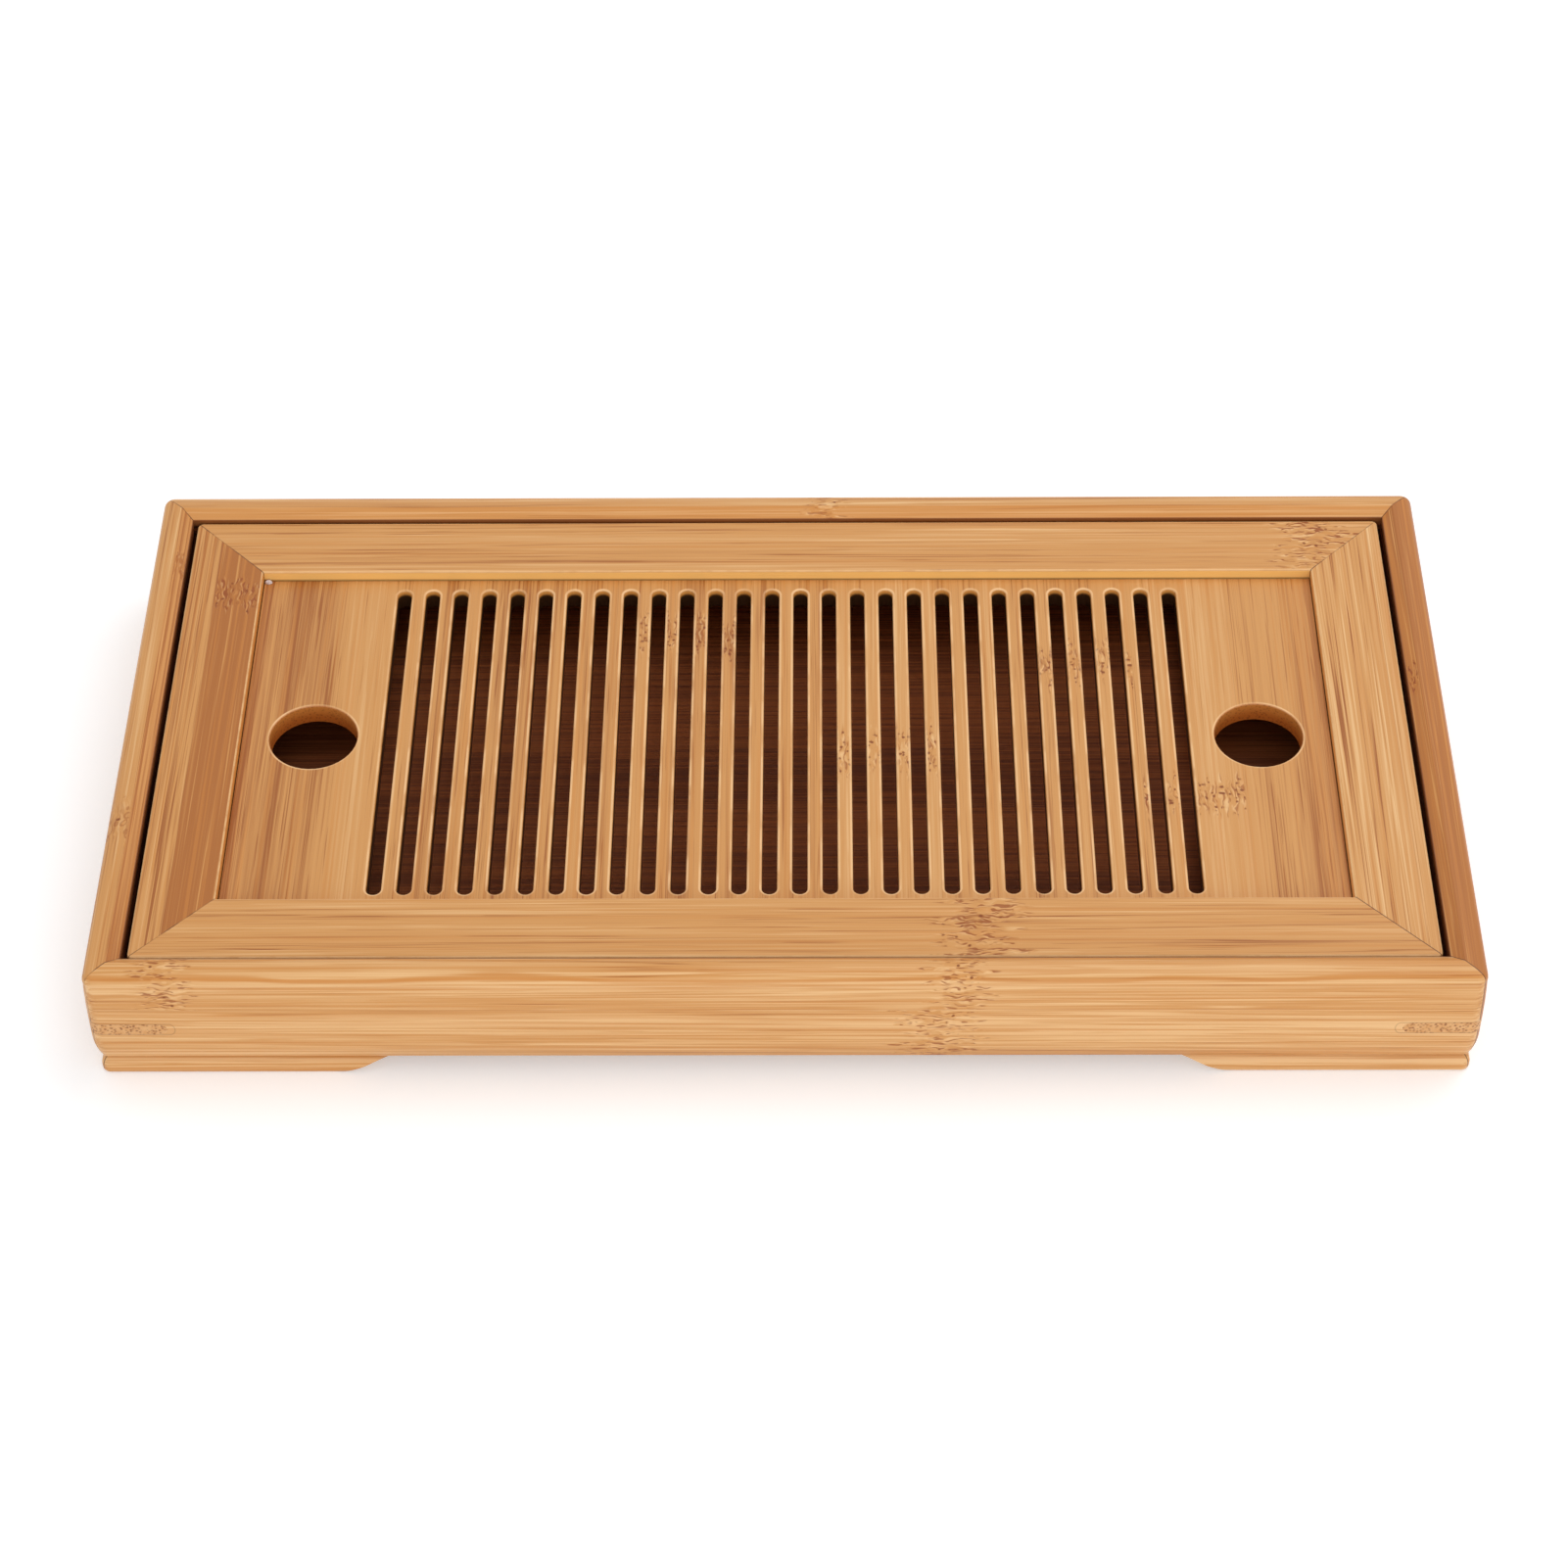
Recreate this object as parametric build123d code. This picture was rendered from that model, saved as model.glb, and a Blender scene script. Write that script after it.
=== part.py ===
from build123d import *
import os
from math import sqrt

# Bamboo gongfu tea tray, in millimetres: a shallow reservoir box on bracket feet,
# with a drain grate that lifts out of it. +Z is up, -Y is the front, and the origin
# is at the middle of the plane that the feet stand on.

# Box, seen from above
tray_length = 270.0            # along X
tray_depth = 140.0             # along Y
corner_radius = 2.5            # upright corners of the rails and the feet

# Bracket feet: two mitred strips under each corner
foot_height = 4.2
foot_width = 10.0              # across the strip
foot_setback = 0.8             # from the box's outer face in to the toe
foot_top_radius = 2.6          # toe's upper edge
foot_edge_radius = 0.8         # toe's lower edge
long_foot_flat = 45.0          # from the corner to the ogee, under the front and back rails
short_foot_flat = 24.0         # the same, under the left and right rails
foot_ogee_run = 16.0           # length of the S-curved end

# Moulded rails of the box, from the underside up
base_lift = 2.9                # wood below the base board's groove
base_thickness = 3.5
reservoir_depth = 7.0          # from the base board up to the ledge
grate_thickness = 9.0          # the grate's frame, which lies on the ledge
rim_rise = 1.9                 # crown of the rail above the top of the grate

# Moulded rails of the box, from the outer face in
rim_width = 7.0                # outer face to inner face, above the ledge
ledge_width = 5.0              # carries the grate
crown_inset = 4.6              # highest line of the rail's top
shoulder_inset = 1.4           # where the top turns into the outer face
shoulder_fall = 0.5            # crown down to the shoulder
shoulder_height = 2.0          # shoulder down to the flat of the outer face
bevel_fall = 1.55              # crown down to the inner edge of the top
belly_inset = 1.3              # how far the outer face draws in at the bottom
belly_height = 6.4             # over which it draws in
face_flat_height = 5.5         # upright part of the outer face, above the belly
face_lean = 0.3                # how far the face leans in from there up to the shoulder
rail_edge_ease = 0.4           # lower outer edge
base_groove_depth = 4.0
base_edge_gap = 0.5            # room for the base board to swell in its groove

# Lift-out drain grate: a mitred frame round a slotted panel
grate_side_gap = 1.15          # play to the left and right rails
grate_front_gap = 0.5          # to the front and back rails
grate_rail_width = 15.5
grate_edge_radius = 0.5        # long arrises of its rails
grate_corner_radius = 1.2
panel_recess = 2.5             # panel's top below the frame's top
panel_thickness = 4.5
tongue_thickness = 2.5         # the panel's edge, flush with its underside
panel_groove_depth = 4.0
panel_shoulder_gap = 0.2       # fine dark line round the panel's top
panel_edge_gap = 0.5           # room for the tongue to swell in its groove

# Slots and finger holes in the panel
slot_width = 3.0
slot_pitch = 6.0
slot_end_margin = 3.3          # from the frame's inner edge to a slot's end
finger_hole_radius = 9.0
finger_hole_inset = 14.75      # from the frame's inner edge to a hole's centre
finger_hole_land = 5.0         # least wood between a hole and the nearest slot
opening_edge_radius = 0.4      # upper rims of the slots and holes

# Keys that cross the mitres of the box and of the grate
key_thickness = 3.0
key_face_length = 15.5         # seen on each outer face, from the corner
key_depth = 13.0               # from the corner, along the diagonal

# Heights and widths worked out from the sizes above
rail_thickness = rim_width + ledge_width
base_bottom = foot_height + base_lift
base_top = base_bottom + base_thickness
ledge_top = base_top + reservoir_depth
grate_top = ledge_top + grate_thickness
crown_top = grate_top + rim_rise
panel_top = grate_top - panel_recess
panel_bottom = panel_top - panel_thickness
grate_length = tray_length - 2 * (rim_width + grate_side_gap)
grate_depth = tray_depth - 2 * (rim_width + grate_front_gap)
opening_length = grate_length - 2 * grate_rail_width
opening_depth = grate_depth - 2 * grate_rail_width

# The way that each side's strip runs in X and Y, with the outside on its right hand,
# and the corners at the strip's two ends
side_ways = {"front": (1, 0), "right": (0, 1), "back": (-1, 0), "left": (0, -1)}
side_ends = {
    "front": ("left", "right"),
    "right": ("front", "back"),
    "back": ("right", "left"),
    "left": ("back", "front"),
}
corner_signs = {
    "front_left": (-1, -1),
    "front_right": (1, -1),
    "back_right": (1, 1),
    "back_left": (-1, 1),
}


def side_run(side, length, depth):
    """Length of the strip that runs along one side of a frame."""
    return length if side in ("front", "back") else depth


def on_side(strip, side, length, depth):
    """Strip drawn along X with its outer face at y = 0, moved to a side of a frame."""
    reach = (length + depth - side_run(side, length, depth)) / 2
    way_x, way_y = side_ways[side]
    face = Plane(origin=(reach * way_y, -reach * way_x, 0), x_dir=(way_x, way_y, 0), z_dir=(0, 0, 1))
    return face.location * strip


def corner_name(side, end):
    """Corner at one end of a side, such as front_left."""
    return f"{side}_{end}" if side in ("front", "back") else f"{end}_{side}"


# Strips and their corners

def rounding_waste(section, run, radius):
    """What rounding the upright corner takes off the strip's low-X end."""
    post = Box(radius, radius, crown_top, align=(Align.MIN, Align.MIN, Align.MIN))
    outer_slice = section & Plane.YZ * Rectangle(radius, crown_top, align=(Align.MIN, Align.MIN))
    rounded = revolve(outer_slice, axis=Axis((0, radius, 0), (0, 0, 1)))
    return Pos(-run / 2, 0, 0) * (post - Pos(radius, 0, 0) * rounded)


def mitred_strip(section, run, width, radius):
    """Strip of one section with mitred ends and rounded upright corners."""
    half = run / 2
    plan = Polyline((-half, 0), (half, 0), (half - width, width), (width - half, width), close=True)
    strip = extrude(section, amount=half, both=True) & extrude(make_face(plan), amount=crown_top)
    waste = rounding_waste(section, run, radius)
    return strip - waste - mirror(waste, Plane.YZ)


def key_blank(corner, length, depth, height):
    """Round-ended key that crosses the mitre of a frame's corner at a height."""
    sign_x, sign_y = corner_signs[corner]
    start = (sign_x * length / 2, sign_y * depth / 2, height)
    across = Plane(origin=start, x_dir=(sign_y, -sign_x, 0), z_dir=(-sign_x, -sign_y, 0))
    key_width = key_face_length * sqrt(2)
    return extrude(across * SlotOverall(key_width, key_thickness), amount=key_depth)


def keyed_frame(strips, length, depth, height):
    """Strips with their key slots cut, and the keys, flush with the outer faces."""
    blanks = {corner: key_blank(corner, length, depth, height) for corner in corner_signs}
    keys = {}
    for side, ends in side_ends.items():
        for end in ends:
            corner = corner_name(side, end)
            half_key = blanks[corner] & strips[side]
            keys[corner] = keys[corner] + half_key if corner in keys else half_key
    slotted = {}
    for side, ends in side_ends.items():
        slotted[side] = strips[side]
        for end in ends:
            slotted[side] -= blanks[corner_name(side, end)]
    return slotted, keys


# Box

def rail_section():
    """Section of a box rail: moulded outside, with the ledge and the base's groove inside."""
    toe = (belly_inset + rail_edge_ease, foot_height)
    belly_low = (belly_inset, foot_height + rail_edge_ease)
    belly_high = (0, foot_height + belly_height)
    flat_high = (0, foot_height + belly_height + face_flat_height)
    face_top = (face_lean, crown_top - shoulder_fall - shoulder_height)
    shoulder = (shoulder_inset, crown_top - shoulder_fall)
    crown = (crown_inset, crown_top)
    crown_arc = TangentArc(crown, shoulder, tangent=(-1, 0))
    outline = [
        Line(toe, belly_low),
        TangentArc(belly_high, belly_low, tangent=(0, -1)),
        Line(belly_high, flat_high),
        TangentArc(flat_high, face_top, tangent=(0, 1)),
        TangentArc(shoulder, face_top, tangent=crown_arc % 1),
        crown_arc,
        Polyline(
            crown,
            (rim_width, crown_top - bevel_fall),
            (rim_width, ledge_top),
            (rail_thickness, ledge_top),
            (rail_thickness, base_top),
            (rail_thickness - base_groove_depth, base_top),
            (rail_thickness - base_groove_depth, base_bottom),
            (rail_thickness, base_bottom),
            (rail_thickness, foot_height),
            toe,
        ),
    ]
    return Plane.YZ * make_face(Curve() + outline)


def box_rails():
    """The four rails, without the slots for their keys."""
    rails = {}
    for side in side_ends:
        run = side_run(side, tray_length, tray_depth)
        strip = mitred_strip(rail_section(), run, rail_thickness, corner_radius)
        rails[side] = on_side(strip, side, tray_length, tray_depth)
    return rails


def base_board():
    """Board in the rails' grooves, which is the floor of the reservoir."""
    margin = rail_thickness - base_groove_depth + base_edge_gap
    board = Box(
        tray_length - 2 * margin,
        tray_depth - 2 * margin,
        base_thickness,
        align=(Align.CENTER, Align.CENTER, Align.MIN),
    )
    return Pos(0, 0, base_bottom) * board


# Feet

def foot_section():
    """Section of a foot strip, with a rounded toe that leaves a quirk under the rail."""
    back = foot_setback + foot_width
    sole = (foot_setback + foot_edge_radius, 0)
    toe_low = (foot_setback, foot_edge_radius)
    toe_high = (foot_setback, foot_height - foot_top_radius)
    crest = (foot_setback + foot_top_radius, foot_height)
    outline = [
        TangentArc(sole, toe_low, tangent=(-1, 0)),
        Line(toe_low, toe_high),
        TangentArc(toe_high, crest, tangent=(0, 1)),
        Polyline(crest, (back, foot_height), (back, 0), sole),
    ]
    return Plane.YZ * make_face(Curve() + outline)


def foot_elevation(run, flat):
    """Outline of a foot seen square to its rail: flat from the corner, then an ogee."""
    corner_x = -run / 2
    low = (corner_x + flat, 0)
    middle = (corner_x + flat + foot_ogee_run / 2, foot_height / 2)
    high = (corner_x + flat + foot_ogee_run, foot_height)
    lower_arc = TangentArc(low, middle, tangent=(1, 0))
    upper_arc = TangentArc(middle, high, tangent=lower_arc % 1)
    block = Polyline(high, (corner_x, foot_height), (corner_x, 0), low)
    return make_face(Curve() + [lower_arc, upper_arc, block])


def feet():
    """Two mitred strips at each corner, by rail and by the corner that they reach."""
    strips = {}
    for side, (low_end, high_end) in side_ends.items():
        run = side_run(side, tray_length, tray_depth)
        flat = long_foot_flat if side in ("front", "back") else short_foot_flat
        whole = mitred_strip(foot_section(), run, foot_setback + foot_width, corner_radius)
        cutter = extrude(Plane.XZ * foot_elevation(run, flat), amount=-(foot_setback + foot_width))
        foot = whole & cutter
        strips[f"{side}_rail_foot_{low_end}"] = on_side(foot, side, tray_length, tray_depth)
        other = mirror(foot, Plane.YZ)
        strips[f"{side}_rail_foot_{high_end}"] = on_side(other, side, tray_length, tray_depth)
    return strips


# Grate

def grate_rail_section():
    """Section of a grate rail: rounded arrises and a groove for the panel's tongue."""
    block = Pos(0, ledge_top) * Rectangle(grate_rail_width, grate_thickness, align=(Align.MIN, Align.MIN))
    groove_start = (grate_rail_width - panel_groove_depth, panel_bottom)
    groove = Pos(*groove_start) * Rectangle(
        panel_groove_depth, tongue_thickness, align=(Align.MIN, Align.MIN)
    )
    return Plane.YZ * (fillet(block.vertices(), grate_edge_radius) - groove)


def grate_rails():
    """The four rails of the grate, without the slots for their keys."""
    rails = {}
    for side in side_ends:
        run = side_run(side, grate_length, grate_depth)
        strip = mitred_strip(grate_rail_section(), run, grate_rail_width, grate_corner_radius)
        rails[side] = on_side(strip, side, grate_length, grate_depth)
    return rails


def panel_layer(margin, thickness):
    """Board on the panel's underside that reaches a margin past the grate's inner edges."""
    board = Box(
        opening_length + 2 * margin,
        opening_depth + 2 * margin,
        thickness,
        align=(Align.CENTER, Align.CENTER, Align.MIN),
    )
    return Pos(0, 0, panel_bottom) * board


def grate_panel():
    """Slotted board, tongued into the grate's rails, with a finger hole at each end."""
    board = panel_layer(-panel_shoulder_gap, panel_thickness)
    board += panel_layer(panel_groove_depth - panel_edge_gap, tongue_thickness)
    hole_x = opening_length / 2 - finger_hole_inset
    field = 2 * (hole_x - finger_hole_radius - finger_hole_land)
    slot_count = int((field - slot_width) / slot_pitch) + 1
    slot_length = opening_depth - 2 * slot_end_margin
    slot = SlotOverall(slot_length, slot_width, rotation=90)
    openings = Sketch() + GridLocations(slot_pitch, 0, slot_count, 1) * slot
    openings += GridLocations(2 * hole_x, 0, 2, 1) * Circle(finger_hole_radius)
    board -= extrude(Pos(0, 0, panel_bottom) * openings, amount=panel_thickness)
    rims = board.faces().sort_by(Axis.Z)[-1].inner_wires()
    return fillet(rims.edges(), opening_edge_radius)


# Every piece by its name

def all_pieces():
    key_height = (base_top + ledge_top) / 2
    rails, keys = keyed_frame(box_rails(), tray_length, tray_depth, key_height)
    grate_key_height = (ledge_top + grate_top) / 2
    grate_frame, grate_keys = keyed_frame(grate_rails(), grate_length, grate_depth, grate_key_height)
    pieces = {"base_board": base_board(), "grate_panel": grate_panel()}
    pieces.update(feet())
    for side in side_ends:
        pieces[f"{side}_rail"] = rails[side]
        pieces[f"grate_{side}_rail"] = grate_frame[side]
    for corner in corner_signs:
        pieces[f"corner_key_{corner}"] = keys[corner]
        pieces[f"grate_key_{corner}"] = grate_keys[corner]
    return pieces


os.makedirs("parts", exist_ok=True)
for name, piece in all_pieces().items():
    export_step(piece, f"parts/{name}.step")
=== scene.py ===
from dataclasses import dataclass
from math import pi, radians

import bpy
from bpy.props import FloatProperty, FloatVectorProperty, PointerProperty
from bpy.types import Operator, Panel, PropertyGroup
from mathutils import Matrix, Vector


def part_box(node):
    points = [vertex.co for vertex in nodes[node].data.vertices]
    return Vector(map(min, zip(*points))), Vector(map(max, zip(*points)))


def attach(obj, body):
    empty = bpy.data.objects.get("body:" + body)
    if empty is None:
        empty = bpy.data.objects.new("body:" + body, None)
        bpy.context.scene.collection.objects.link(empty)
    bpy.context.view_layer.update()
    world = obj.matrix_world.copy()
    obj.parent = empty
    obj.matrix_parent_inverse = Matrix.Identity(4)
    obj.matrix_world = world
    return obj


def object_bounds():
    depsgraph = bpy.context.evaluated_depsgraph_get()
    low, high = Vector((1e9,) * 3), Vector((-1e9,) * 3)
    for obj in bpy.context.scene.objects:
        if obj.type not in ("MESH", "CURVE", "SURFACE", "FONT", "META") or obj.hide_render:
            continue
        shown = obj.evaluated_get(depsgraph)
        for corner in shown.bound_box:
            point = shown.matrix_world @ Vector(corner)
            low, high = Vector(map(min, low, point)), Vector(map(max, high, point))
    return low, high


bl_info = {
    "name": "Gongfu Tea Tray",
    "version": (1, 0, 0),
    "blender": (4, 5, 0),
    "location": "3D View > Sidebar > Tea Tray",
    "description": "Bamboo finishes, glue bead and studio stage for a gongfu tea tray",
    "category": "Object",
}

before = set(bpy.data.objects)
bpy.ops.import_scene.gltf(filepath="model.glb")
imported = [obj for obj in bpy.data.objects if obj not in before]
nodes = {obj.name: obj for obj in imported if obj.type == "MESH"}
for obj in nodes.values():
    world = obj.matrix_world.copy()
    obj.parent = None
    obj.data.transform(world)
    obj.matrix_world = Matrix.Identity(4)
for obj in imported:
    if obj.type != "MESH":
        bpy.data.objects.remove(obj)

MM = 0.001

# Colours of small details, as linear red, green and blue with alpha
JOINT_BROWN = (0.11, 0.034, 0.009, 1.0)
# Painted shade deep in the slots, near black below their tops
SLOT_DEPTH_SHADE = (0.030, 0.012, 0.006, 1.0)
# Painted shade along the box rails' inner top edge, by the gap round the grate
GAP_SHADE_BROWN = (0.22, 0.065, 0.016, 1.0)
# Dents in node marks: a dark side, partly brown wood and partly painted shade, and a painted
# highlight on the lit side
DENT_SHADE_BROWN = (0.32, 0.080, 0.012, 1.0)
DENT_HIGHLIGHT = (0.93, 0.58, 0.27, 1.0)
LOOP_BROWN = (0.34, 0.088, 0.014, 1.0)
PORE_BROWN = (0.22, 0.048, 0.006, 1.0)
KEY_PORE = (0.30, 0.10, 0.022, 1.0)
# Darker sawn colour of the finger holes' walls, with painted shade that grows with depth
HOLE_WALL_AND_SHADE = (0.51, 0.135, 0.020, 1.0)
HOLE_PORE = (0.16, 0.035, 0.006, 1.0)
# Painted light on the grate back rail's inner wall, brighter than the other walls
PAINTED_LIT_WALL = (0.97, 0.60, 0.19, 1.0)
GLUE_SHADE = (0.55, 0.42, 0.36, 1.0)
FLOOR_SHADE = (0.88, 0.88, 0.88, 1.0)
WHITE = (1.0, 1.0, 1.0, 1.0)

COAT_ROUGHNESS = 0.28

# Sockets of the shader groups that aren't numbers
VECTORS = ("Vector", "Normal")
COLOURS = ("Dark", "Honey", "Pale", "Orange", "Color")

SIDES = ("front", "right", "back", "left")
CORNERS = ("front_left", "front_right", "back_right", "back_left")

# Places on the tray, read from the frame in metres
tray_low, tray_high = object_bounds()
tray_length = tray_high.x - tray_low.x
tray_depth = tray_high.y - tray_low.y
grate_low = Vector((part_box("grate_left_rail")[0].x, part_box("grate_front_rail")[0].y, 0))
grate_length = -2 * grate_low.x
grate_depth = -2 * grate_low.y
grate_rail_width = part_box("grate_left_rail")[1].x - grate_low.x


# Sizes and colours that a user may change

class TeaTrayBamboo(PropertyGroup):
    """Colours of the bamboo and the sizes of its fibres and strips."""

    dark: FloatVectorProperty(
        name="Dark Fibres", description="Colour of the darkest fibres",
        subtype="COLOR", default=(0.36, 0.112, 0.021), min=0, max=1,
    )
    honey: FloatVectorProperty(
        name="Honey", description="Main colour of the bamboo",
        subtype="COLOR", default=(0.665, 0.318, 0.098), min=0, max=1,
    )
    # The pale fibres' colour also gives the painted highlight on sanded edges
    pale: FloatVectorProperty(
        name="Pale Fibres", description="Colour of the palest fibres and of sanded edges",
        subtype="COLOR", default=(0.86, 0.53, 0.245), min=0, max=1,
    )
    orange: FloatVectorProperty(
        name="Orange Streaks", description="Colour of the streaks that took up most heat",
        subtype="COLOR", default=(0.62, 0.235, 0.045), min=0, max=1,
    )
    # Painted light: the sawn inner walls' colour as they look when lit from above
    sawn: FloatVectorProperty(
        name="Sawn Walls", description="Colour of the grate's sawn inner walls, lit from above",
        subtype="COLOR", default=(0.90, 0.40, 0.085), min=0, max=1,
    )
    # The rims' colour is partly their sanded, paler wood and partly a painted highlight where their
    # rounding catches light
    rim: FloatVectorProperty(
        name="Sanded Rims", description="Colour of the sanded rims of slots and finger holes",
        subtype="COLOR", default=(0.95, 0.60, 0.30), min=0, max=1,
    )
    panel_strip: FloatProperty(
        name="Panel Strip", description="Width of the flat strips in the slotted panel",
        unit="LENGTH", default=20.6 * MM, min=5 * MM, max=60 * MM,
    )
    gloss_coat: FloatProperty(
        name="Lacquer", description="Weight of the clear satin lacquer",
        subtype="FACTOR", default=0.10, min=0, max=1,
    )
    relief: FloatProperty(
        name="Fibre Relief", description="Depth of the fibres' relief under the lacquer",
        unit="LENGTH", default=0.02 * MM, min=0, max=0.2 * MM,
    )


class TeaTrayBase(PropertyGroup):
    """Colours of the dark board under the grate, and of the painted shade on its ends and in the
    gap round the grate.
    """

    deep: FloatVectorProperty(
        name="Deep Brown", description="Darkest lines of the base board",
        subtype="COLOR", default=(0.23, 0.060, 0.018), min=0, max=1,
    )
    brown: FloatVectorProperty(
        name="Brown", description="Main colour of the base board",
        subtype="COLOR", default=(0.50, 0.145, 0.038), min=0, max=1,
    )
    # Painted shade on the rails' inner faces down in the gap and on the board's ends
    painted_shade: FloatVectorProperty(
        name="Painted Shade", description="Darkest colour of sealed inner faces and board ends",
        subtype="COLOR", default=(0.020, 0.008, 0.005), min=0, max=1,
    )


class TeaTrayGlue(PropertyGroup):
    """Bead of glue left in the grate's back left inner corner."""

    length: FloatProperty(
        name="Length", description="Length of the bead along the back rail",
        unit="LENGTH", default=1.7 * MM, min=0.5 * MM, max=4 * MM,
    )
    width: FloatProperty(
        name="Width", description="Width of the bead over the panel",
        unit="LENGTH", default=1.1 * MM, min=0.3 * MM, max=3 * MM,
    )
    height: FloatProperty(
        name="Height", description="Height of the bead over the panel",
        unit="LENGTH", default=0.7 * MM, min=0.2 * MM, max=2 * MM,
    )
    colour: FloatVectorProperty(
        name="Colour", description="Milky colour of the dried glue",
        subtype="COLOR", default=(0.78, 0.74, 0.78), min=0, max=1,
    )


class TeaTrayStage(PropertyGroup):
    """Camera, lamps and floor."""

    lens: FloatProperty(
        name="Lens", description="Focal length on a sensor 36 mm wide",
        default=87.380, min=20, max=300,
    )
    camera_place: FloatVectorProperty(
        name="Camera Place", description="Where the camera stands",
        subtype="XYZ", unit="LENGTH", default=(6.50 * MM, -548.87 * MM, 575.52 * MM),
    )
    camera_turn: FloatVectorProperty(
        name="Camera Turn", description="Pitch below the horizon, heading and roll",
        subtype="EULER", default=(radians(45.856), radians(0.722), radians(-0.635)),
    )
    key_power: FloatProperty(
        name="Key Lamp", description="Power of the large soft lamp, in watts",
        default=4.5, min=0, max=500,
    )
    fill_power: FloatProperty(
        name="Fill Lamp", description="Power of the wide, low lamp in front, in watts",
        default=9.0, min=0, max=500,
    )
    ambient: FloatProperty(
        name="Room Light", description="Strength of the even light from all round",
        default=0.72, min=0, max=2,
    )
    floor_colour: FloatVectorProperty(
        name="Floor", description="Colour of the pale floor",
        subtype="COLOR", default=(0.90, 0.912, 0.93), min=0, max=1,
    )
    floor_size: FloatProperty(
        name="Floor Size", description="Width of the square floor",
        unit="LENGTH", default=8.0, min=1, max=40,
    )


# Shader helpers

class Graph:
    """Adds nodes to a tree. Each value may be a plain one or another node's socket."""

    column = 190

    def __init__(self, tree):
        self.tree = tree

    def node(self, kind, values=None, **settings):
        made = self.tree.nodes.new(kind)
        made.location = (self.column * len(self.tree.nodes), 0)
        for name, value in settings.items():
            setattr(made, name, value)
        for name, value in (values or {}).items():
            self.feed(made.inputs[name], value)
        return made

    def feed(self, socket, value):
        if isinstance(value, bpy.types.NodeSocket):
            self.tree.links.new(value, socket)
        else:
            socket.default_value = value

    def math(self, operation, *values):
        return self.node("ShaderNodeMath", dict(enumerate(values)), operation=operation).outputs[0]

    def total(self, first, *rest):
        for value in rest:
            first = self.math("ADD", first, value)
        return first

    def product(self, first, *rest):
        for value in rest:
            first = self.math("MULTIPLY", first, value)
        return first

    def less(self, value, amount):
        return self.math("SUBTRACT", value, amount)

    def share(self, value, whole):
        return self.math("DIVIDE", value, whole)

    def size(self, value):
        """The value without its sign."""
        return self.math("ABSOLUTE", value)

    def least(self, first, second):
        return self.math("MINIMUM", first, second)

    def most(self, first, second):
        return self.math("MAXIMUM", first, second)

    def under(self, value, limit):
        """1 where the value is under the limit, and 0 elsewhere."""
        return self.math("LESS_THAN", value, limit)

    def away(self, value, place):
        """Distance of a value from a place."""
        return self.size(self.less(value, place))

    def swing(self, value, amount):
        """Turns a value from 0 to 1 into one from minus half the amount to plus half of it."""
        return self.product(self.less(value, 0.5), amount)

    def shifted(self, vector, shift):
        return self.node("ShaderNodeVectorMath", {0: vector, 1: shift}, operation="ADD").outputs[0]

    def split(self, vector):
        return self.node("ShaderNodeSeparateXYZ", {"Vector": vector}).outputs[:3]

    def join(self, x, y, z):
        return self.node("ShaderNodeCombineXYZ", {"X": x, "Y": y, "Z": z}).outputs[0]

    def reach(self, x, y):
        """Length of the slanting line with these two sides."""
        line = {0: self.join(x, y, 0.0)}
        return self.node("ShaderNodeVectorMath", line, operation="LENGTH").outputs["Value"]

    def step(self, value, start, end, low=0.0, high=1.0):
        """Smooth rise from low at start to high at end."""
        ends = {"Value": value, "From Min": start, "From Max": end, "To Min": low, "To Max": high}
        return self.node("ShaderNodeMapRange", ends, interpolation_type="SMOOTHSTEP").outputs[0]

    def fall(self, value, start, end):
        return self.step(value, start, end, 1.0, 0.0)

    def mix(self, factor, first, second):
        made = self.node("ShaderNodeMix", data_type="RGBA")
        for place, value in ((0, factor), (6, first), (7, second)):
            self.feed(made.inputs[place], value)
        return made.outputs[2]

    def drawn(self, vector, length, width):
        """Coordinates for noise of blotches about length by width, drawn out along X."""
        scale = (1 / length, 1 / width, 1 / width)
        return self.node("ShaderNodeMapping", {"Vector": vector, "Scale": scale}).outputs[0]

    def noise(self, vector, scale, detail):
        """Cloudy noise about 0.5, with few values under 0.28 or over 0.72."""
        values = {"Vector": vector, "Scale": scale, "Detail": detail}
        return self.node("ShaderNodeTexNoise", values).outputs["Fac"]

    def streaks(self, vector, length, width, detail=2.0):
        """Noise of blotches about length by width, drawn out along X, from 0 to 1."""
        return self.step(self.noise(self.drawn(vector, length, width), 1.0, detail), 0.28, 0.72)

    def lines(self, vector, length, width, thickness):
        """Thin lines about width apart along X, from 0 beside them to 1 on them."""
        noise = self.noise(self.drawn(vector, length, width), 1.0, 1.0)
        return self.fall(self.away(noise, 0.5), 0.0, 0.3 * thickness / width)

    def cells(self, vector, length, width):
        """Distance, in cells, from the nearest of scattered points, and its three random values."""
        values = {"Vector": self.drawn(vector, length, width), "Scale": 1.0}
        made = self.node("ShaderNodeTexVoronoi", values)
        return made.outputs["Distance"], self.split(made.outputs["Color"])

    def end_grain(self, vector):
        """The same for the fibres of bamboo cut across."""
        return self.cells(vector, 0.62, 0.56)

    def relief(self, shader, height, distance, strength=1.0):
        """Bumps under the shader's coat."""
        values = {"Height": height, "Distance": distance, "Strength": strength}
        self.feed(shader.inputs["Normal"], self.node("ShaderNodeBump", values).outputs[0])


def colour(value):
    return (*value, 1.0)


def socket_kind(name):
    """Kind of a group's socket: a number, unless its name stands for a vector or a colour."""
    if name in VECTORS:
        return "NodeSocketVector"
    return "NodeSocketColor" if name in COLOURS else "NodeSocketFloat"


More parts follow.
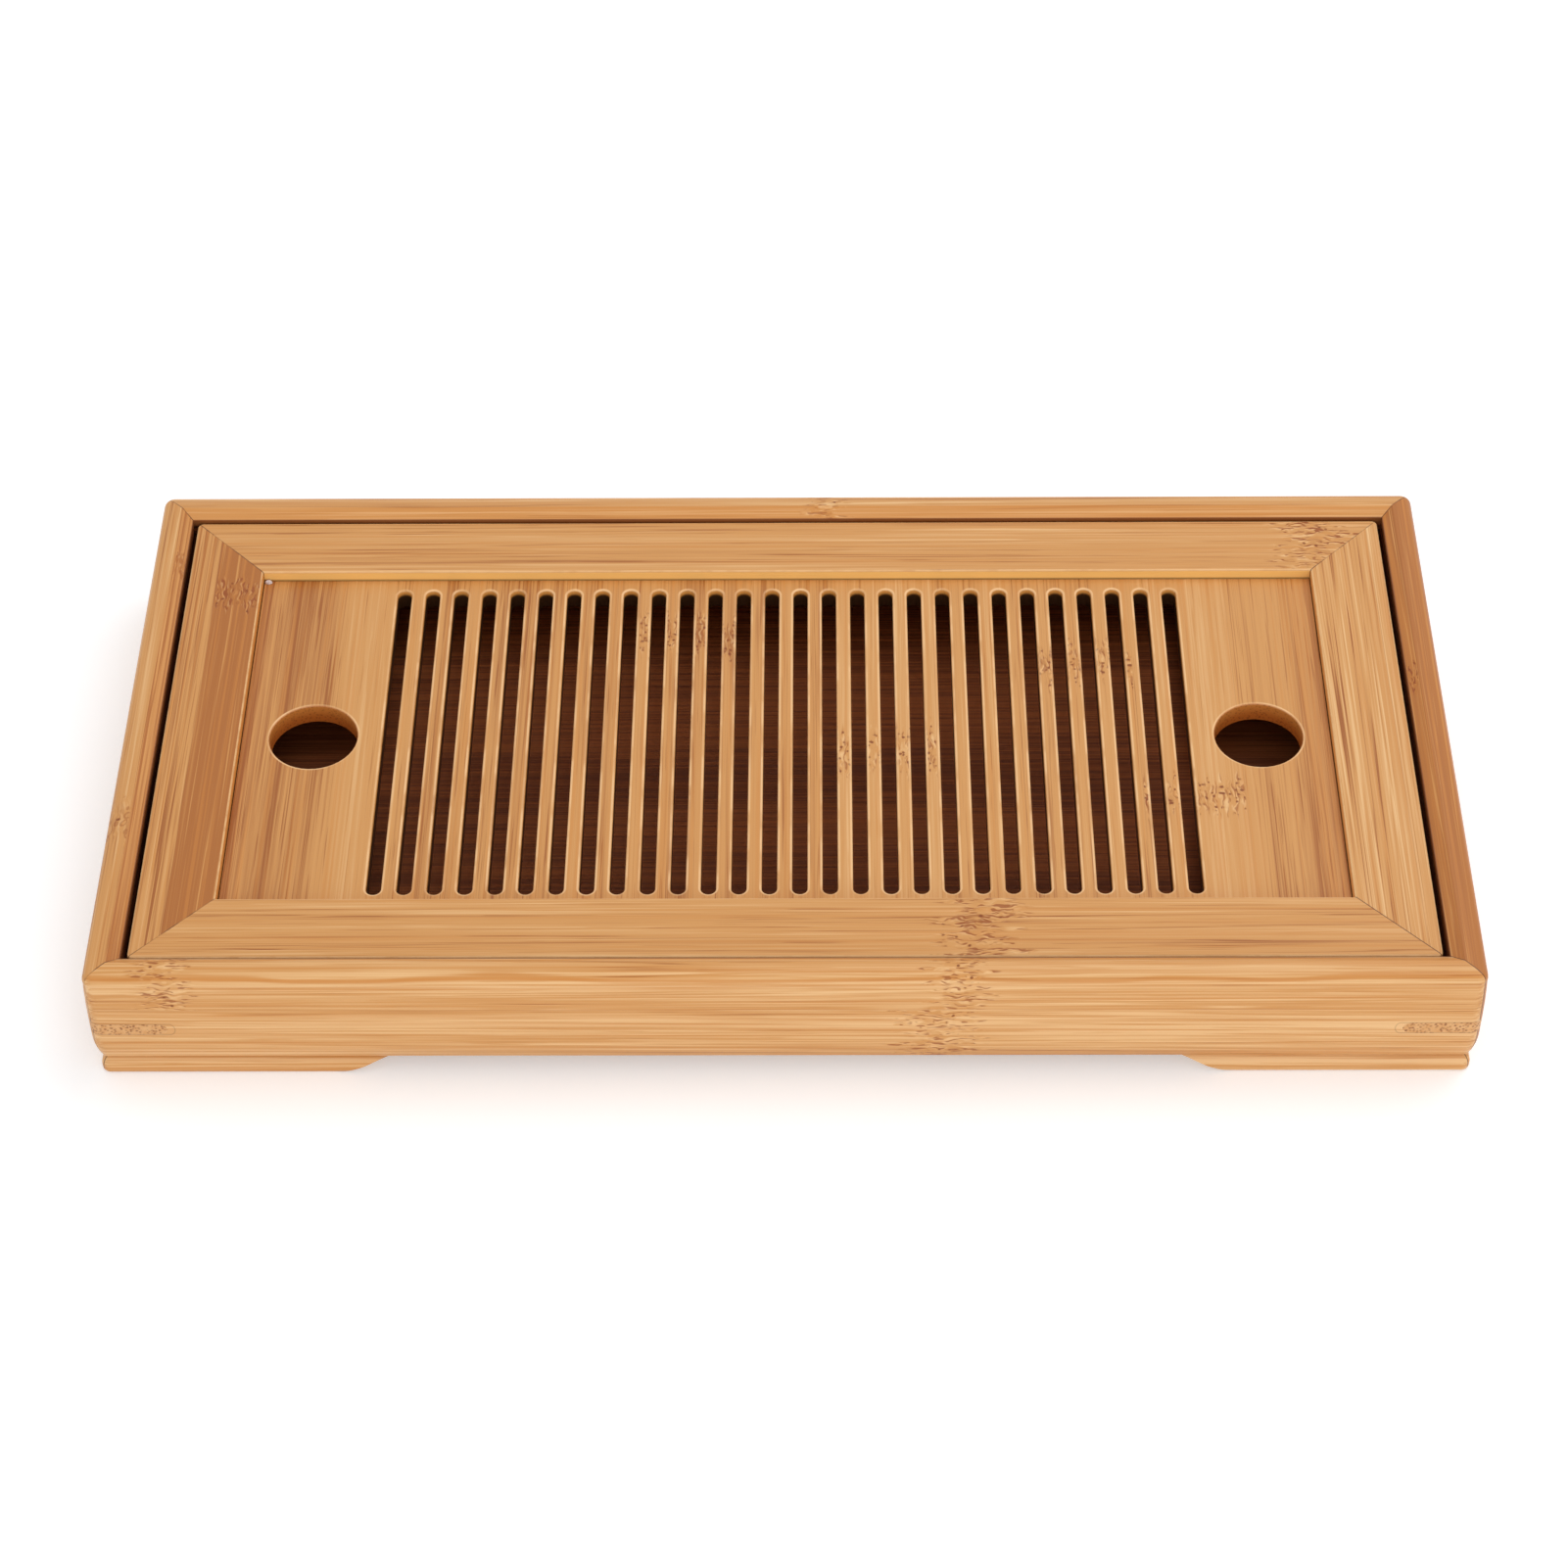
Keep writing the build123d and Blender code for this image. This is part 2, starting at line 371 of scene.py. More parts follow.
def shader_group(name, inputs, outputs):
    """Empty shader group with named sockets, and its graph, inputs and output node."""
    tree = bpy.data.node_groups.new(name, "ShaderNodeTree")
    for way, sockets in (("INPUT", inputs), ("OUTPUT", outputs)):
        for socket in sockets:
            tree.interface.new_socket(name=socket, in_out=way, socket_type=socket_kind(socket))
    graph = Graph(tree)
    return graph, graph.node("NodeGroupInput").outputs, graph.node("NodeGroupOutput").inputs


def placed_group(graph, name, values):
    return graph.node("ShaderNodeGroup", values, node_tree=bpy.data.node_groups[name]).outputs


def new_material(name):
    """Material with a Principled shader, and its graph and shader node."""
    material = bpy.data.materials.new(name)
    material.use_nodes = True
    graph = Graph(material.node_tree)
    return material, graph, material.node_tree.nodes["Principled BSDF"]


def lacquer(shader):
    """Clear satin coat."""
    shader.inputs["Coat Weight"].default_value = bpy.context.scene.tea_tray_bamboo.gloss_coat
    shader.inputs["Coat Roughness"].default_value = COAT_ROUGHNESS


def finish_node(name, material):
    """Gives a carried-over part its finish."""
    mesh = nodes[name].data
    mesh.materials.clear()
    mesh.materials.append(material)


def millimetres(graph):
    """Object coordinates in millimetres."""
    raw = graph.node("ShaderNodeTexCoord").outputs["Object"]
    return graph.node("ShaderNodeMapping", {"Vector": raw, "Scale": (1 / MM,) * 3}).outputs[0]


def along_grain(graph, plain, grain, across):
    """Coordinates turned so that X runs along the grain and Y across it, and that Y alone."""
    axes = dict(zip("XYZ", graph.split(plain)))
    third = next(axis for axis in "XYZ" if axis not in (grain, across))
    return graph.join(axes[grain], axes[across], axes[third]), axes[across]


# Shared effects, with places in millimetres

def make_node_mark():
    """Band where the stem had a node: ragged along the fibres, and cut off at the strip's edges."""
    graph, given, out = shader_group(
        "Bamboo Node Mark", ("Vector", "Along", "Across", "Length", "Width"), ("Mask",)
    )
    x, y, _ = graph.split(given["Vector"])
    ragged = graph.streaks(given["Vector"], 60, 1.0, 1)
    pull = graph.product(graph.swing(ragged, 0.6), given["Length"])
    offset = graph.away(graph.total(x, pull), given["Along"])
    aside = graph.away(y, given["Across"])
    lengthwise = graph.fall(graph.share(offset, given["Length"]), 0.30, 0.55)
    crosswise = graph.fall(graph.share(aside, given["Width"]), 0.485, 0.50)
    graph.feed(out["Mask"], graph.product(lengthwise, crosswise))


def make_bamboo():
    """Colour, relief and roughness of sawn strips, with X along the fibres and Y across them."""
    graph, given, out = shader_group(
        "Bamboo Fibres",
        (
            "Vector", "Strip Width", "Strip Edge", "Strip Step", "Strip Luck", "Glue Line",
            "Tone", "Warmth", "Lines", "Seed", "Marks", "Dents", "Lit", "Pores", "Loops",
            "Dark", "Honey", "Pale", "Orange",
        ),
        ("Color", "Height", "Roughness"),
    )
    x, y, z = graph.split(given["Vector"])
    marks = given["Marks"]
    place = graph.share(graph.less(y, given["Strip Edge"]), given["Strip Width"])
    index = graph.math("FLOOR", place)
    part = graph.math("FRACT", place)
    odd = graph.math("FLOORED_MODULO", index, 2.0)
    pick = graph.join(index, given["Seed"], 0.0)
    random = graph.node("ShaderNodeTexWhiteNoise", {"Vector": pick}, noise_dimensions="2D")
    lucks = graph.split(random.outputs["Color"])

    # Each strip comes from another stem, so its fibres start and lean differently
    stems_along, stems_down, pieces_along = 900.0, 90.0, 37.0
    lean = graph.product(graph.swing(lucks[1], 0.012), x)
    swerve = graph.product(graph.swing(graph.streaks(given["Vector"], 4.0, 2.2, 1), 0.8), marks)
    moved = graph.product(lucks[0], stems_along)
    start = graph.total(x, moved, graph.product(given["Seed"], pieces_along))
    down = graph.total(z, graph.product(lucks[2], stems_down))
    fibres = graph.join(start, graph.total(y, lean, swerve), down)
    apart = graph.shifted(fibres, (311.0, 17.0, 43.0))

    bands = graph.streaks(fibres, 260, 5.5, 1)
    medium = graph.streaks(fibres, 110, 1.3)
    fine = graph.streaks(fibres, 60, 0.42)
    hairs = graph.streaks(fibres, 16, 0.22, 1)
    thin = 0.30
    dark = graph.lines(fibres, 150, 1.3, thin)
    dark_lines = graph.product(dark, graph.streaks(apart, 55, 1.2, 1))
    pale = graph.lines(apart, 150, 1.6, thin)
    pale_lines = graph.product(pale, graph.streaks(fibres, 60, 1.1, 1))
    dashes = graph.step(graph.streaks(apart, 22, 0.36, 1), 0.82, 0.98)
    burnt = graph.step(graph.streaks(apart, 130, 0.9, 2), 0.60, 0.95)
    lines = graph.total(
        graph.swing(medium, 0.16),
        graph.swing(fine, 0.28),
        graph.product(dark_lines, -0.42),
        graph.product(pale_lines, 0.30),
    )

    # In a node mark the fibres break up into dents, painted with a dark side, partly brown wood and
    # partly shade, and a highlight on their lit side, and pores show
    dent = (2.4, 0.5)
    dented = graph.step(graph.streaks(fibres, *dent, 1), 0.62, 0.95)
    dents = graph.product(dented, marks, given["Dents"])
    beside = graph.shifted(fibres, (0.2, 0.36, 0.0))
    lit_side = graph.step(graph.streaks(beside, *dent, 1), 0.66, 0.98)
    lit = graph.product(lit_side, marks, given["Lit"])
    browned = graph.product(graph.streaks(fibres, 6.0, 3.0, 1), marks)
    faded = graph.step(graph.streaks(apart, 4.5, 1.3, 1), 0.5, 0.9)
    bleached = graph.product(faded, marks, given["Lit"])
    distance, random = graph.cells(fibres, 1.25, 1.15)
    chosen = graph.product(graph.under(random[0], given["Pores"]), marks)
    dots = graph.product(graph.fall(distance, 0.18, 0.34), chosen)
    halo = graph.product(graph.fall(distance, 0.14, 0.60), chosen)
    distance, random = graph.cells(apart, 2.6, 2.0)
    chosen = graph.product(graph.under(random[0], given["Loops"]), marks)
    loops = graph.product(graph.fall(graph.away(distance, 0.30), 0.04, 0.12), chosen)

    tone = graph.total(
        0.5,
        given["Tone"],
        graph.product(odd, given["Strip Step"]),
        graph.product(graph.less(lucks[0], 0.5), given["Strip Luck"]),
        graph.swing(bands, 0.22),
        graph.product(lines, given["Lines"], graph.step(marks, 0.0, 1.0, 1.0, 0.6)),
        graph.swing(hairs, 0.08),
        graph.product(dashes, -0.18),
        graph.product(halo, -0.22),
        graph.product(browned, -0.20),
        graph.product(bleached, 0.34),
    )
    lower = graph.mix(graph.step(tone, 0.0, 0.5), given["Dark"], given["Honey"])
    wood = graph.mix(graph.step(tone, 0.5, 1.05), lower, given["Pale"])
    warmth = graph.total(graph.product(burnt, 0.32), given["Warmth"])
    wood = graph.mix(warmth, wood, given["Orange"])
    # Painted highlight on the dents' lit side, and their dark side, partly painted shade
    wood = graph.mix(graph.product(lit, 0.5), wood, DENT_HIGHLIGHT)
    wood = graph.mix(graph.product(dents, 0.6), wood, DENT_SHADE_BROWN)
    wood = graph.mix(graph.product(loops, 0.5), wood, LOOP_BROWN)
    wood = graph.mix(graph.product(dots, 0.85), wood, PORE_BROWN)
    rim = graph.product(graph.least(part, graph.less(1.0, part)), given["Strip Width"])
    glue = graph.product(graph.fall(rim, 0.03, 0.14), given["Glue Line"])
    graph.feed(out["Color"], graph.mix(glue, wood, given["Dark"]))

    height = graph.total(
        graph.swing(medium, 0.25),
        graph.swing(fine, 0.5),
        graph.swing(hairs, 0.3),
        graph.product(dark_lines, -0.5),
        graph.product(dashes, -0.4),
        graph.product(glue, -0.8),
        graph.product(dents, -0.4),
        graph.product(dots, -0.6),
    )
    graph.feed(out["Height"], height)
    bright = graph.total(0.42, graph.swing(fine, 0.12), graph.swing(bands, -0.08))
    graph.feed(out["Roughness"], graph.total(bright, graph.product(marks, 0.08)))


def make_edges():
    """Masks of sanded edges, from level to upright, for their paler wood and painted highlight, and
    of upright walls inside an opening.
    """
    graph, given, out = shader_group(
        "Edges And Walls", ("Vector", "Normal", "Half Length", "Half Depth"), ("Edge", "Wall")
    )
    x, y, _ = graph.split(given["Vector"])
    past_end = graph.less(graph.size(x), given["Half Length"])
    past_side = graph.less(graph.size(y), given["Half Depth"])
    inside = graph.fall(graph.most(past_end, past_side), 0.6, 0.9)
    up = graph.split(given["Normal"])[2]
    turned = graph.fall(up, 0.90, 0.985)
    lifted = graph.step(up, 0.10, 0.45)
    # Patchy strength of the painted highlight on worn, sanded edges
    wear_and_highlight = graph.step(graph.noise(given["Vector"], 0.35, 2.0), 0.25, 0.60, 0.55, 1.0)
    graph.feed(out["Edge"], graph.product(turned, lifted, wear_and_highlight))
    graph.feed(out["Wall"], graph.product(graph.fall(graph.size(up), 0.06, 0.30), inside))


def inset_from_edges(graph, given, x, y):
    """Distances inwards from the nearer end and from the nearer long side."""
    from_end = graph.less(given["Half Length"], graph.size(x))
    from_side = graph.less(given["Half Depth"], graph.size(y))
    return from_end, from_side


def make_rail_faces():
    """Masks of a box rail's bevel inside the crown, of painted shade along its inner edge by the
    gap, and of painted shade on its inner faces down in the gap.
    """
    sizes = ("Half Length", "Half Depth", "Crown", "Rim", "Floor", "Grate Top", "Gap Shade Width")
    graph, given, out = shader_group(
        "Rail Faces", ("Vector", *sizes), ("Bevel", "Edge", "Inside")
    )
    x, y, z = graph.split(given["Vector"])
    inset = graph.least(*inset_from_edges(graph, given, x, y))
    graph.feed(out["Bevel"], graph.step(graph.less(inset, given["Crown"]), -0.15, 0.15))
    above = graph.step(graph.less(z, given["Floor"]), -0.1, 0.1)
    below = graph.fall(graph.less(z, given["Grate Top"]), -1.6, -0.5)
    past_rim = graph.less(inset, given["Rim"])
    # Painted shade along the inner edge, by the gap
    gap_shaded = graph.step(graph.total(past_rim, given["Gap Shade Width"]), -0.06, 0.06)
    graph.feed(out["Edge"], graph.product(gap_shaded, above))
    # Inside: painted shade on the inner faces down in the gap
    graph.feed(out["Inside"], graph.product(graph.step(past_rim, -0.06, -0.02), above, below))


def make_openings():
    """Masks of the sanded rims of the panel's slots and finger holes, where a painted highlight
    goes, and of their walls, where painted shade deepens downwards.
    """
    slots = ("Half Pitch", "Last Slot", "Slot End", "Slot Radius")
    holes = ("Hole Place", "Hole Radius", "Top")
    graph, given, out = shader_group(
        "Panel Openings", ("Vector", *slots, *holes), ("Rim", "Slot Wall", "Hole Wall")
    )
    x, y, z = graph.split(given["Vector"])
    x, y = graph.size(x), graph.size(y)
    between = graph.less(given["Half Pitch"], graph.math("PINGPONG", x, given["Half Pitch"]))
    aside = graph.most(between, graph.less(x, given["Last Slot"]))
    past = graph.most(graph.less(y, given["Slot End"]), 0.0)
    from_slot = graph.less(graph.reach(aside, past), given["Slot Radius"])
    from_middle = graph.reach(graph.less(x, given["Hole Place"]), y)
    from_hole = graph.less(from_middle, given["Hole Radius"])
    near = graph.least(from_slot, from_hole)
    depth = graph.less(given["Top"], z)
    wall = graph.fall(near, 0.05, 0.25)
    at_slot = graph.under(from_slot, from_hole)
    at_hole = graph.less(1.0, at_slot)
    at_top = graph.fall(depth, 0.15, 0.35)
    # Rim: where the sanded rims get their paler wood and painted highlight
    graph.feed(out["Rim"], graph.product(graph.fall(near, 0.35, 0.60), at_top))
    # Painted shade on the slots' walls, from a little under the top downwards
    graph.feed(out["Slot Wall"], graph.product(wall, at_slot, graph.step(depth, 0.7, 1.6)))
    # Painted shade: the finger holes' walls darken with depth
    deeper_shade = graph.step(depth, 0.2, 3.5, 0.6, 1.0)
    graph.feed(out["Hole Wall"], graph.product(wall, at_hole, deeper_shade))


def make_mitre():
    """Thin dark line where two mitred rails meet: tight in places, open at the front right."""
    graph, given, out = shader_group("Mitre Line", ("Vector", "Offset", "Width"), ("Mask",))
    x, y, _ = graph.split(given["Vector"])
    gap = graph.less(graph.size(x), graph.size(y))
    line = graph.fall(graph.share(graph.away(gap, given["Offset"]), given["Width"]), 0.3, 1.0)
    loose = graph.step(graph.noise(given["Vector"], 0.22, 1.5), 0.35, 0.62, 0.35, 1.0)
    open_corner = graph.step(graph.less(x, y), 90.0, 140.0)
    graph.feed(out["Mask"], graph.product(line, graph.most(loose, open_corner)))


def make_key_joint():
    """Thin dark line round the end grain of a key that crosses a frame's corner."""
    sizes = ("Half Length", "Half Depth", "Height", "Reach", "Radius")
    graph, given, out = shader_group("Key Joint", ("Vector", *sizes), ("Mask",))
    half_diagonal, diagonal = 0.71, 1.41
    x, y, z = graph.split(given["Vector"])
    along = graph.total(*inset_from_edges(graph, given, x, y))
    straight = graph.less(given["Reach"], graph.product(given["Radius"], half_diagonal))
    past = graph.most(graph.less(along, straight), 0.0)
    reach = graph.reach(graph.product(past, diagonal), graph.less(z, given["Height"]))
    graph.feed(out["Mask"], graph.fall(graph.away(reach, given["Radius"]), 0.06, 0.24))


def make_groups():
    for name, make in (
        ("Bamboo Node Mark", make_node_mark),
        ("Bamboo Fibres", make_bamboo),
        ("Edges And Walls", make_edges),
        ("Rail Faces", make_rail_faces),
        ("Panel Openings", make_openings),
        ("Mitre Line", make_mitre),
        ("Key Joint", make_key_joint),
    ):
        if name not in bpy.data.node_groups:
            make()


# Bamboo finishes

@dataclass
class Mark:
    """Node mark on a strip: its middle along and across the grain, and its size, in millimetres."""

    along: float
    across: float
    length: float
    width: float


@dataclass
class Patch:
    """Strip or seam that differs: its middle and width across the grain, in millimetres."""

    across: float
    width: float
    tone: float
    warmth: float = 0.0
    soft: float = 0.1
    wander: float = 0.0


@dataclass
class Cut:
    """How a bamboo piece was sawn, glued and sanded, in millimetres from the middle of the tray."""

    grain: str = "X"
    across: str = "Y"
    strip_width: float = 400.0     # wider than any piece: no joint shows
    strip_edge: float = -200.0
    strip_step: float = 0.0        # how much lighter every second strip is
    strip_luck: float = 0.0        # how far the strips' tones differ by chance
    glue_line: float = 0.3
    tone: float = 0.0
    warmth: float = 0.0
    lines: float = 1.0
    seed: float = 0.0
    marks: tuple = ()
    dents: float = 1.0
    # strength of the painted highlight beside dents and of pale bleached patches in node marks
    lit: float = 1.0
    pores: float = 0.08
    loops: float = 0.0
    patches: tuple = ()
    faces: dict = None
    # Bevel tone and warmth: partly the bevel's own strips, partly painted shade, and on the back
    # rail painted orange bounce light
    bevel_tone: float = 0.0        # what the bevel inside the crown adds
    bevel_warmth: float = 0.0
    mitre: float = None            # half the difference of the frame's two sides
    key_joint: dict = None
    # strength of the paler wood and painted highlight on sanded edges
    edge_highlight: float = 0.0
    # strength of the painted light on upright inner walls
    wall_painted_light: float = 0.0
    wall_colour: tuple = None
    # strength of the dark line at the inner walls' foot, partly joint and partly painted shade
    foot_line: float = 0.0
    openings: dict = None


def bamboo_material(name, cut):
    """Lacquered bamboo, sawn as the cut says."""
    make_groups()
    bamboo = bpy.context.scene.tea_tray_bamboo
    board = bpy.context.scene.tea_tray_base
    material, graph, shader = new_material(name)
    plain = millimetres(graph)
    sawn, across = along_grain(graph, plain, cut.grain, cut.across)
    marked = 0.0
    for mark in cut.marks:
        band = {
            "Vector": sawn, "Along": mark.along, "Across": mark.across,
            "Length": mark.length, "Width": mark.width,
        }
        marked = graph.most(marked, placed_group(graph, "Bamboo Node Mark", band)["Mask"])
    tone, warmth = cut.tone, cut.warmth
    for patch in cut.patches:
        wander = graph.swing(graph.streaks(sawn, 30, 90, 1), patch.wander)
        aside = graph.away(graph.total(across, wander), patch.across)
        inside = graph.fall(aside, (patch.width - patch.soft) / 2, (patch.width + patch.soft) / 2)
        tone = graph.total(tone, graph.product(inside, patch.tone))
        warmth = graph.total(warmth, graph.product(inside, patch.warmth))
    if cut.faces:
        faces = placed_group(graph, "Rail Faces", {"Vector": plain, **cut.faces})
        # The bevel inside the crown: partly its own strip colour, partly painted shade and bounce
        # light
        tone = graph.total(tone, graph.product(faces["Bevel"], cut.bevel_tone))
        warmth = graph.total(warmth, graph.product(faces["Bevel"], cut.bevel_warmth))
    wood = placed_group(graph, "Bamboo Fibres", {
        "Vector": sawn, "Strip Width": cut.strip_width, "Strip Edge": cut.strip_edge,
        "Strip Step": cut.strip_step, "Strip Luck": cut.strip_luck, "Glue Line": cut.glue_line,
        "Tone": tone, "Warmth": warmth, "Lines": cut.lines, "Seed": cut.seed,
        "Marks": marked, "Dents": cut.dents, "Lit": cut.lit, "Pores": cut.pores, "Loops": cut.loops,
        "Dark": colour(bamboo.dark), "Honey": colour(bamboo.honey),
        "Pale": colour(bamboo.pale), "Orange": colour(bamboo.orange),
    })
    shown = wood["Color"]
    if cut.wall_painted_light or cut.edge_highlight or cut.foot_line:
        normal = graph.node("ShaderNodeTexCoord").outputs["Normal"]
        turned = {"Vector": plain, "Normal": normal, **grate_opening}
        edges = placed_group(graph, "Edges And Walls", turned)
    # Painted light: upright inner walls take a bright sawn colour, as if lit from above
    if cut.wall_painted_light:
        wall_colour = cut.wall_colour or colour(bamboo.sawn)
        shown = graph.mix(graph.product(edges["Wall"], cut.wall_painted_light), shown, wall_colour)
    # Sanded edges: paler wood and a painted highlight
    if cut.edge_highlight:
        shown = graph.mix(graph.product(edges["Edge"], cut.edge_highlight), shown, colour(bamboo.pale))
    # Dark line at the foot of the inner walls, where the panel meets the frame: partly the joint,
    # partly painted shade in the crease
    if cut.foot_line:
        over_panel = graph.less(graph.split(plain)[2], panel_openings["Top"])
        line = graph.product(graph.fall(over_panel, 0.15, 0.45), edges["Wall"], cut.foot_line)
        shown = graph.mix(line, shown, JOINT_BROWN)
    if cut.openings:
        masks = placed_group(graph, "Panel Openings", {"Vector": plain, **cut.openings})
        # Sanded rims of slots and holes: paler wood and a painted highlight, patchy along them
        wear_and_highlight = graph.step(graph.streaks(sawn, 9, 9, 2), 0.1, 0.8, 0.3, 0.8)
        shown = graph.mix(graph.product(masks["Rim"], wear_and_highlight), shown, colour(bamboo.rim))
        # Finger holes' walls: darker sawn wood, with painted shade that grows with depth
        shown = graph.mix(masks["Hole Wall"], shown, HOLE_WALL_AND_SHADE)
        distance, _ = graph.end_grain(plain)
        specks = graph.product(graph.fall(distance, 0.12, 0.50), masks["Hole Wall"], 0.55)
        shown = graph.mix(specks, shown, HOLE_PORE)
        # Painted shade: the slots' walls go near black below their tops
        shown = graph.mix(graph.product(masks["Slot Wall"], 0.97), shown, SLOT_DEPTH_SHADE)
    if cut.mitre is not None:
        mitre = {"Vector": plain, "Offset": cut.mitre, "Width": 0.2}
        line = placed_group(graph, "Mitre Line", mitre)["Mask"]
        shown = graph.mix(graph.product(line, 0.95), shown, JOINT_BROWN)
    if cut.key_joint:
        line = placed_group(graph, "Key Joint", {"Vector": plain, **cut.key_joint})["Mask"]
        shown = graph.mix(graph.product(line, 0.28), shown, JOINT_BROWN)
    if cut.faces:
        # Painted shade on the rails' inner faces down in the gap, streaked dark brown
        inner_face_shade = graph.mix(graph.streaks(sawn, 40, 0.8, 1), colour(board.painted_shade), colour(board.deep))
        # Painted shade: a dark line along the rail's inner edge by the gap
        shown = graph.mix(graph.product(faces["Edge"], 0.9), shown, GAP_SHADE_BROWN)
        shown = graph.mix(faces["Inside"], shown, inner_face_shade)
    graph.feed(shader.inputs["Base Color"], shown)
    graph.feed(shader.inputs["Roughness"], wood["Roughness"])
    graph.relief(shader, wood["Height"], bamboo.relief)
    lacquer(shader)
    shader.inputs["Specular IOR Level"].default_value = 0.3
    return material


def key_material(name, key_joint, seed):
    """End grain of a key, with the pores of its fibres as specks."""
    make_groups()
    bamboo = bpy.context.scene.tea_tray_bamboo
    material, graph, shader = new_material(name)
    plain = millimetres(graph)
    moved = graph.shifted(plain, (3.1 * seed, 1.7 * seed, 0.0))
    distance, random = graph.end_grain(moved)
    specks = graph.fall(distance, 0.20, 0.60)
    strength = graph.step(random[0], 0.1, 0.9, 0.5, 1.0)
    cloud = graph.noise(moved, 0.8, 3.0)
    paler = graph.step(cloud, 0.3, 0.7, 0.0, 0.4)
    shown = graph.mix(paler, colour(bamboo.honey), colour(bamboo.pale))
    shown = graph.mix(graph.product(specks, strength), shown, KEY_PORE)
    line = placed_group(graph, "Key Joint", {"Vector": plain, **key_joint})["Mask"]
    shown = graph.mix(graph.product(line, 0.25), shown, JOINT_BROWN)
    graph.feed(shader.inputs["Base Color"], shown)
    graph.feed(shader.inputs["Roughness"], graph.step(specks, 0, 1, 0.45, 0.6))
    graph.relief(shader, graph.product(specks, -1.0), bamboo.relief, 0.8)
    lacquer(shader)
    return material


# Places on the tray that the finishes follow, in millimetres

def key_place(node, length, depth):
    """Where the keys of a frame show, for the line round them."""
    low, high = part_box(node)
    return {
        "Half Length": length / 2 / MM,
        "Half Depth": depth / 2 / MM,
        "Height": (low.z + high.z) / 2 / MM,
        "Reach": (high.x - low.x) / MM,
        "Radius": (high.z - low.z) / 2 / MM,
    }


box_keys = key_place("corner_key_front_left", tray_length, tray_depth)
grate_keys = key_place("grate_key_front_left", grate_length, grate_depth)
box_mitre = (tray_length - tray_depth) / 2 / MM
grate_mitre = (grate_length - grate_depth) / 2 / MM
grate_opening = {
    "Half Length": (grate_length / 2 - grate_rail_width) / MM,
    "Half Depth": (grate_depth / 2 - grate_rail_width) / MM,
}
crown_inset = 4.6
whole_strip = 60.0             # wider than any rail, so that one joint shows at most
rail_faces = {
    "Half Length": tray_length / 2 / MM, "Half Depth": tray_depth / 2 / MM,
    "Crown": crown_inset, "Rim": 7.0, "Floor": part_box("base_board")[0].z / MM,
    "Grate Top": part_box("grate_front_rail")[1].z / MM, "Gap Shade Width": 0.15,
}
front_joint = 19.6             # glued joint in the front and back rails, above the table
side_joint = tray_length / 2 / MM - crown_inset - 0.2      # just inside the side rails' crown
panel_openings = {
    "Half Pitch": 3.0, "Last Slot": 81.0, "Slot End": 42.2, "Slot Radius": 1.5,
    "Hole Place": 96.6, "Hole Radius": 9.0, "Top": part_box("grate_panel")[1].z / MM,
}


# Operators, one for each group of pieces

class TEATRAY_OT_box_rails(Operator):
    """Gives the four moulded rails their laminated bamboo"""

    bl_idname = "teatray.box_rails"
    bl_label = "Finish Box Rails"

    def execute(self, context):
        joints = {"mitre": box_mitre, "key_joint": box_keys, "faces": rail_faces}
        strip = 15.5
        level = {"across": "Z", "strip_width": strip, "strip_edge": front_joint, **joints}
        upright = {"grain": "Y", "across": "X", "strip_width": whole_strip, **joints}
        upper, lower = front_joint + strip / 2, front_joint - strip / 2
        cuts = {
            "front": Cut(
                # The front rail gets a wider line of painted shade by the gap
                **{**level, "faces": {**rail_faces, "Gap Shade Width": 0.50}},
                tone=0.23, strip_step=0.04, seed=1.0, warmth=0.04, dents=1.3, lit=0.7,
                marks=(
                    Mark(33.5, upper, 11.0, strip),
                    Mark(29.5, lower, 14.0, strip),
                    Mark(-119.5, upper, 10.0, strip),
                ),
                patches=(
                    Patch(27.7, 0.5, -0.22, warmth=0.4, soft=0.3, wander=0.7),
                    Patch(27.0, 0.4, 0.14, soft=0.4, wander=0.7),
                    Patch(5.2, 1.0, -0.1, warmth=0.15, soft=0.6, wander=0.3),
                ),
            ),
            # The back rail's bevel gets painted orange bounce light from the grate and a little
            # painted shade
            "back": Cut(
                **level, tone=0.14, strip_step=-0.05, seed=5.0, bevel_tone=-0.06, bevel_warmth=0.35,
                marks=(Mark(9.0, upper, 8.0, strip),),
            ),
            "left": Cut(
                **upright, strip_edge=-side_joint, tone=0.0, warmth=0.06, strip_step=0.06, seed=2.0,
                bevel_tone=-0.16, bevel_warmth=0.22, dents=0.4, lit=0.4, loops=0.55,
                marks=(Mark(-29.0, -133.0, 11.0, 5.4), Mark(47.5, -128.7, 7.0, 3.0)),
            ),
            "right": Cut(
                **upright, strip_edge=side_joint, tone=-0.36, warmth=0.28, seed=4.0,
                bevel_tone=-0.10, bevel_warmth=0.08, dents=3.0, lit=0.2, lines=1.5,
                marks=(Mark(12.5, 128.6, 9.0, 3.0),),
                patches=(
                    Patch(134.0, 2.6, -0.16, warmth=0.12, soft=1.0, wander=0.8),
                    Patch(132.2, 0.5, -0.16, soft=0.4, wander=0.8),
                    Patch(129.9, 0.9, 0.12, warmth=-0.1, soft=0.5, wander=0.4),
                    Patch(128.9, 0.7, -0.15, warmth=0.1, soft=0.5, wander=0.9),
                ),
            ),
        }
        for side, cut in cuts.items():
            finish_node(f"{side}_rail", bamboo_material(f"{side} rail bamboo", cut))
        return {"FINISHED"}


